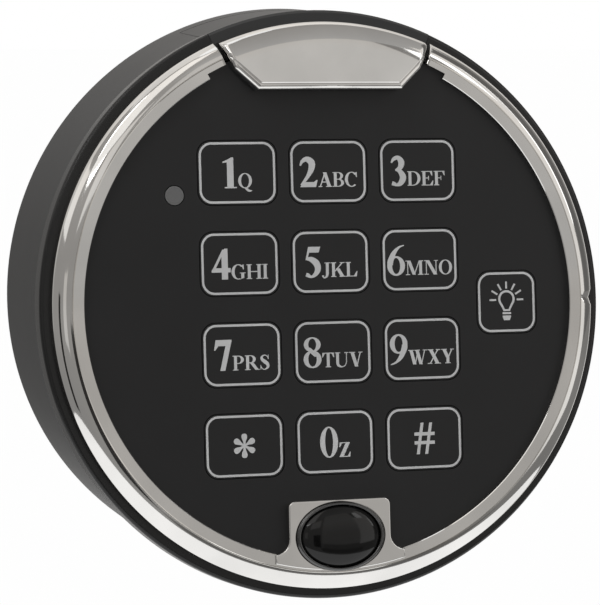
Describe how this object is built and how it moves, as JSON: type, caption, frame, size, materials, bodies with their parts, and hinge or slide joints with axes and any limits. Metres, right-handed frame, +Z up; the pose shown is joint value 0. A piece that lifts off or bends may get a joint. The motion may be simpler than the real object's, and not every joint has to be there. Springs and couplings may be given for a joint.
{
  "type": "electronic safe lock keypad",
  "caption": "Round keypad entry unit of an electronic safe lock: sloping black face with push keys, bright bezel, status light and a pull-out battery drawer at the top.",
  "frame": {"origin": "centre of the round mounting face, on the door", "axes": "+Z up the door, +X to the right seen from the front, -Y out of the door towards the user; the face leans back by 6.25 degrees"},
  "size_m": [0.1036, 0.0385, 0.1033],
  "materials": {
    "mounting_base": "zinc plated",
    "retaining_screw": "black oxide",
    "rear_housing": "satin, fine grain",
    "chassis": "matt",
    "front_cover": "satin",
    "housing_screws": "zinc plated",
    "chrome_bezel": "polished",
    "badge_rim": "polished",
    "badge_dome": "gloss",
    "face_plate": "satin",
    "key_cap": "satin, printed",
    "switch_domes": "bright",
    "circuit_board": "solder mask",
    "indicator_led": "frosted",
    "controller_chip": "matt",
    "buzzer": "matt",
    "cable_socket": "matt",
    "contact_springs": "bright",
    "battery_drawer": "satin, fine grain",
    "drawer_tab": "polished",
    "battery": "satin",
    "battery_contacts": "bright"
  },
  "bodies": {
    "housing": {"mounting_base": "mounting_base", "retaining_screw": "retaining_screw", "rear_housing": "rear_housing", "chassis": "chassis", "front_cover": "front_cover", "housing_screws": "housing_screws", "chrome_bezel": "chrome_bezel", "badge_rim": "badge_rim", "badge_dome": "badge_dome", "face_plate": "face_plate", "switch_domes": "switch_domes", "circuit_board": "circuit_board", "indicator_led": "indicator_led", "controller_chip": "controller_chip", "buzzer": "buzzer", "cable_socket": "cable_socket", "contact_springs": "contact_springs"},
    "drawer": {"battery_drawer": "battery_drawer", "drawer_tab": "drawer_tab", "battery": "battery", "battery_contacts": "battery_contacts"},
    "key_1_cap": {"key_1": "key_cap"},
    "key_2_cap": {"key_2": "key_cap"},
    "key_3_cap": {"key_3": "key_cap"},
    "key_4_cap": {"key_4": "key_cap"},
    "key_5_cap": {"key_5": "key_cap"},
    "key_6_cap": {"key_6": "key_cap"},
    "key_7_cap": {"key_7": "key_cap"},
    "key_8_cap": {"key_8": "key_cap"},
    "key_9_cap": {"key_9": "key_cap"},
    "key_star_cap": {"key_star": "key_cap"},
    "key_0_cap": {"key_0": "key_cap"},
    "key_hash_cap": {"key_hash": "key_cap"},
    "key_light_cap": {"key_light": "key_cap"}
  },
  "joints": [
    {"name": "drawer_slide", "type": "slide", "parent": "housing", "child": "drawer", "axis": [0, 0, 1], "range_m": [0, 0.046]},
    {"name": "key_1_press", "type": "slide", "parent": "housing", "child": "key_1_cap", "axis": [0, 0.9941, -0.1089], "range_m": [0, 0.0004], "stiffness_N_per_m": 2500, "springref_m": -0.0002},
    {"name": "key_2_press", "type": "slide", "parent": "housing", "child": "key_2_cap", "axis": [0, 0.9941, -0.1089], "range_m": [0, 0.0004], "stiffness_N_per_m": 2500, "springref_m": -0.0002},
    {"name": "key_3_press", "type": "slide", "parent": "housing", "child": "key_3_cap", "axis": [0, 0.9941, -0.1089], "range_m": [0, 0.0004], "stiffness_N_per_m": 2500, "springref_m": -0.0002},
    {"name": "key_4_press", "type": "slide", "parent": "housing", "child": "key_4_cap", "axis": [0, 0.9941, -0.1089], "range_m": [0, 0.0004], "stiffness_N_per_m": 2500, "springref_m": -0.0002},
    {"name": "key_5_press", "type": "slide", "parent": "housing", "child": "key_5_cap", "axis": [0, 0.9941, -0.1089], "range_m": [0, 0.0004], "stiffness_N_per_m": 2500, "springref_m": -0.0002},
    {"name": "key_6_press", "type": "slide", "parent": "housing", "child": "key_6_cap", "axis": [0, 0.9941, -0.1089], "range_m": [0, 0.0004], "stiffness_N_per_m": 2500, "springref_m": -0.0002},
    {"name": "key_7_press", "type": "slide", "parent": "housing", "child": "key_7_cap", "axis": [0, 0.9941, -0.1089], "range_m": [0, 0.0004], "stiffness_N_per_m": 2500, "springref_m": -0.0002},
    {"name": "key_8_press", "type": "slide", "parent": "housing", "child": "key_8_cap", "axis": [0, 0.9941, -0.1089], "range_m": [0, 0.0004], "stiffness_N_per_m": 2500, "springref_m": -0.0002},
    {"name": "key_9_press", "type": "slide", "parent": "housing", "child": "key_9_cap", "axis": [0, 0.9941, -0.1089], "range_m": [0, 0.0004], "stiffness_N_per_m": 2500, "springref_m": -0.0002},
    {"name": "key_star_press", "type": "slide", "parent": "housing", "child": "key_star_cap", "axis": [0, 0.9941, -0.1089], "range_m": [0, 0.0004], "stiffness_N_per_m": 2500, "springref_m": -0.0002},
    {"name": "key_0_press", "type": "slide", "parent": "housing", "child": "key_0_cap", "axis": [0, 0.9941, -0.1089], "range_m": [0, 0.0004], "stiffness_N_per_m": 2500, "springref_m": -0.0002},
    {"name": "key_hash_press", "type": "slide", "parent": "housing", "child": "key_hash_cap", "axis": [0, 0.9941, -0.1089], "range_m": [0, 0.0004], "stiffness_N_per_m": 2500, "springref_m": -0.0002},
    {"name": "key_light_press", "type": "slide", "parent": "housing", "child": "key_light_cap", "axis": [0, 0.9941, -0.1089], "range_m": [0, 0.0004], "stiffness_N_per_m": 2500, "springref_m": -0.0002}
  ]
}
